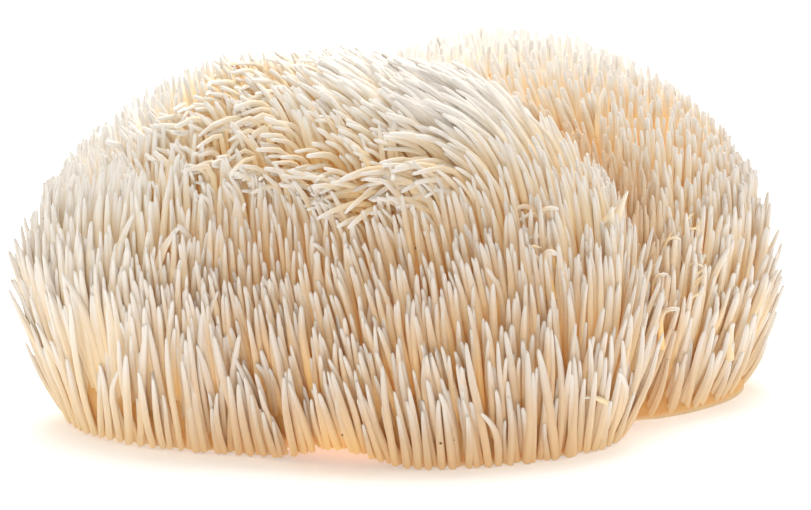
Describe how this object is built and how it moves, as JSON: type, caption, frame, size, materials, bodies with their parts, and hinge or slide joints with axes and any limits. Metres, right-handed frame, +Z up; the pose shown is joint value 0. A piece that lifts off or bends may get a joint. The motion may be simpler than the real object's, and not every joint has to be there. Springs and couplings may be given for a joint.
{
  "type": "lion's mane mushroom",
  "caption": "Rounded lobed mushroom covered all over with long tapering spines, resting on the flat cut under it with its tips turned up.",
  "frame": {"origin": "centre of the bounding box at the height of the flat cut the mushroom rests on", "axes": "+X along the longest side, to the right as seen from the front; +Y towards the back; +Z up, the way the spine tips point"},
  "size_m": [0.169, 0.113, 0.0821],
  "materials": {
    "mushroom_flesh": "matte"
  },
  "bodies": {
    "root": {"fruiting_body": "mushroom_flesh"}
  },
  "joints": []
}
